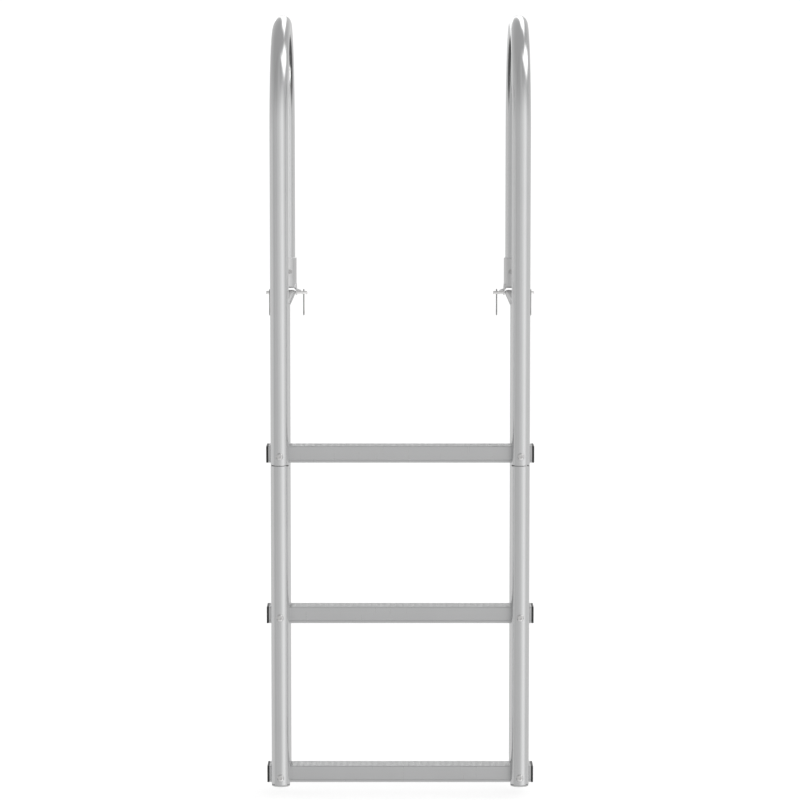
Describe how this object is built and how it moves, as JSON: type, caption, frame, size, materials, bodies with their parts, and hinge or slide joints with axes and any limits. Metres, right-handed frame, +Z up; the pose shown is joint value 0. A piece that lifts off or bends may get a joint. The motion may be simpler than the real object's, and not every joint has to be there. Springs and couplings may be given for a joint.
{
  "type": "boat boarding ladder",
  "caption": "Aluminium boarding ladder with arched tube handrails, ribbed box-section steps between front and rear stiles, and deck bars joined by clip-retained hinge pins.",
  "frame": {"origin": "on the deck surface, at the edge of the dock or boat deck, midway between the two deck bars", "axes": "+Z up, +X to the right for a climber facing the ladder, -Y towards the water, +Y over the deck"},
  "size_m": [0.489, 0.4211, 1.332],
  "materials": {
    "tube_aluminium": "satin anodised tube",
    "step_aluminium": "satin anodised extrusion",
    "cast_aluminium": "fine matt, machined bores",
    "stainless": "drawn wire and turned bright",
    "grey_plastic": "moulded, satin",
    "black_plastic": "moulded, fine texture",
    "black_rubber": "matt"
  },
  "bodies": {
    "deck_bars": {"deck_bar_left": "cast_aluminium", "deck_bar_right": "cast_aluminium", "deck_buffer_left": "black_rubber", "deck_buffer_right": "black_rubber"},
    "hinge_pin_body_left": {"hinge_pin_left": "stainless"},
    "inner_clip_body_left": {"inner_clip_left": "stainless"},
    "outer_clip_body_left": {"outer_clip_left": "stainless"},
    "hinge_pin_body_right": {"hinge_pin_right": "stainless"},
    "inner_clip_body_right": {"inner_clip_right": "stainless"},
    "outer_clip_body_right": {"outer_clip_right": "stainless"},
    "ladder": {"step_bottom": "step_aluminium", "step_middle": "step_aluminium", "step_top": "step_aluminium", "handrail_tube_left": "tube_aluminium", "lower_stile_left": "tube_aluminium", "rear_stile_left": "tube_aluminium", "seam_spigot_left": "tube_aluminium", "front_foot_plug_left": "grey_plastic", "rear_foot_plug_left": "grey_plastic", "rear_top_plug_left": "grey_plastic", "foot_socket_left": "cast_aluminium", "socket_rivet_left": "stainless", "step_cap_bottom_left": "black_plastic", "step_bolt_bottom_left": "stainless", "step_nut_bottom_left": "stainless", "step_cap_middle_left": "black_plastic", "step_bolt_middle_left": "stainless", "step_nut_middle_left": "stainless", "step_cap_top_left": "black_plastic", "step_bolt_top_left": "stainless", "step_nut_top_left": "stainless", "handrail_tube_right": "tube_aluminium", "lower_stile_right": "tube_aluminium", "rear_stile_right": "tube_aluminium", "seam_spigot_right": "tube_aluminium", "front_foot_plug_right": "grey_plastic", "rear_foot_plug_right": "grey_plastic", "rear_top_plug_right": "grey_plastic", "foot_socket_right": "cast_aluminium", "socket_rivet_right": "stainless", "step_cap_bottom_right": "black_plastic", "step_bolt_bottom_right": "stainless", "step_nut_bottom_right": "stainless", "step_cap_middle_right": "black_plastic", "step_bolt_middle_right": "stainless", "step_nut_middle_right": "stainless", "step_cap_top_right": "black_plastic", "step_bolt_top_right": "stainless", "step_nut_top_right": "stainless"}
  },
  "joints": [
    {"name": "ladder_tilt", "type": "hinge", "parent": "deck_bars", "child": "ladder", "pos_m": [0, 0.2949, 0.005], "axis": [-1, 0, 0], "range_deg": [0, 90]},
    {"name": "pin_turn_left", "type": "hinge", "parent": "deck_bars", "child": "hinge_pin_body_left", "pos_m": [-0.207, 0.2949, 0.005], "axis": [1, 0, 0], "continuous": true},
    {"name": "inner_clip_pull_left", "type": "slide", "parent": "hinge_pin_body_left", "child": "inner_clip_body_left", "axis": [0, 0, -1], "range_m": [0, 0.012]},
    {"name": "outer_clip_pull_left", "type": "slide", "parent": "hinge_pin_body_left", "child": "outer_clip_body_left", "axis": [0, 0, -1], "range_m": [0, 0.012]},
    {"name": "pin_turn_right", "type": "hinge", "parent": "deck_bars", "child": "hinge_pin_body_right", "pos_m": [0.207, 0.2949, 0.005], "axis": [1, 0, 0], "continuous": true},
    {"name": "inner_clip_pull_right", "type": "slide", "parent": "hinge_pin_body_right", "child": "inner_clip_body_right", "axis": [0, 0, -1], "range_m": [0, 0.012]},
    {"name": "outer_clip_pull_right", "type": "slide", "parent": "hinge_pin_body_right", "child": "outer_clip_body_right", "axis": [0, 0, -1], "range_m": [0, 0.012]}
  ]
}
